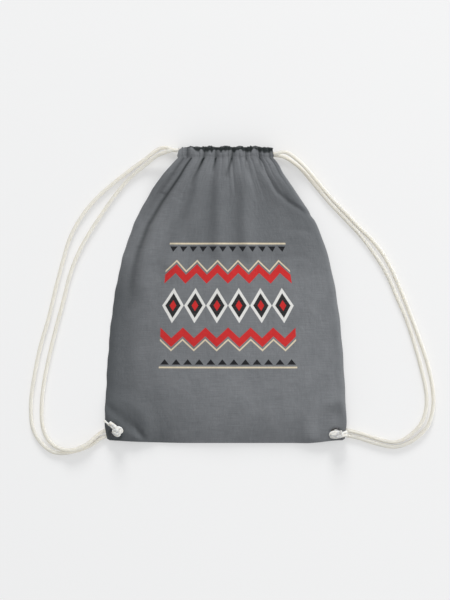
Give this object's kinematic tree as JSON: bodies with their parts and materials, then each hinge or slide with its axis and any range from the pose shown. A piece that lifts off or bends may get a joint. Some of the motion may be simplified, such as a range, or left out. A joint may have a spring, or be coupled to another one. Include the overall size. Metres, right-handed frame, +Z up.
{
  "type": "drawstring bag",
  "caption": "Flat cotton drawstring backpack: a soft pouch with a gathered mouth, drawn shut by cords in a casing that are knotted through eyelets at the bottom corners.",
  "frame": {"origin": "on the surface that the bag lies on, under the middle of the bag without its free cords", "axes": "+X across the bag, +Y from the bottom seam to the mouth, +Z up from the surface through the back panel to the front panel"},
  "size_m": [0.62, 0.4734, 0.0278],
  "materials": {
    "cloth": "plain woven dark grey cotton",
    "cord": "undyed soft cotton cord",
    "eyelet_metal": "nickel-plated"
  },
  "bodies": {
    "bag": {"back_panel": "cloth", "left_side_seam": "cloth", "right_side_seam": "cloth", "bottom_seam": "cloth", "left_corner_patch": "cloth", "right_corner_patch": "cloth", "front_panel": "cloth", "back_casing": "cloth", "front_casing": "cloth", "left_eyelet": "eyelet_metal", "right_eyelet": "eyelet_metal", "left_eyelet_washer": "eyelet_metal", "right_eyelet_washer": "eyelet_metal", "left_strand_back": "cord", "left_strand_front": "cord", "right_strand_front": "cord", "right_strand_back": "cord"},
    "cord_left": {"left_cord_front_run": "cord", "left_cord_turn": "cord", "left_cord_back_run": "cord"},
    "cord_right": {"right_cord_front_run": "cord", "right_cord_turn": "cord", "right_cord_back_run": "cord"},
    "knot_left": {"left_knot": "cord"},
    "knot_right": {"right_knot": "cord"}
  },
  "joints": [
    {"name": "left_cord_draw", "type": "slide", "parent": "bag", "child": "cord_left", "axis": [-1, 0, 0], "range_m": [-0.095, 0.03], "deforming": ["front_casing", "back_casing", "left_strand_back", "left_strand_front", "right_strand_front", "right_strand_back"]},
    {"name": "right_cord_draw", "type": "slide", "parent": "bag", "child": "cord_right", "axis": [1, 0, 0], "range_m": [-0.095, 0.03], "deforming": ["front_casing", "back_casing", "left_strand_back", "left_strand_front", "right_strand_front", "right_strand_back"]},
    {"name": "left_knot_pull", "type": "slide", "parent": "bag", "child": "knot_left", "axis": [0, 0, 1], "range_m": [0, 0.008]},
    {"name": "right_knot_pull", "type": "slide", "parent": "bag", "child": "knot_right", "axis": [0, 0, 1], "range_m": [0, 0.008]}
  ]
}
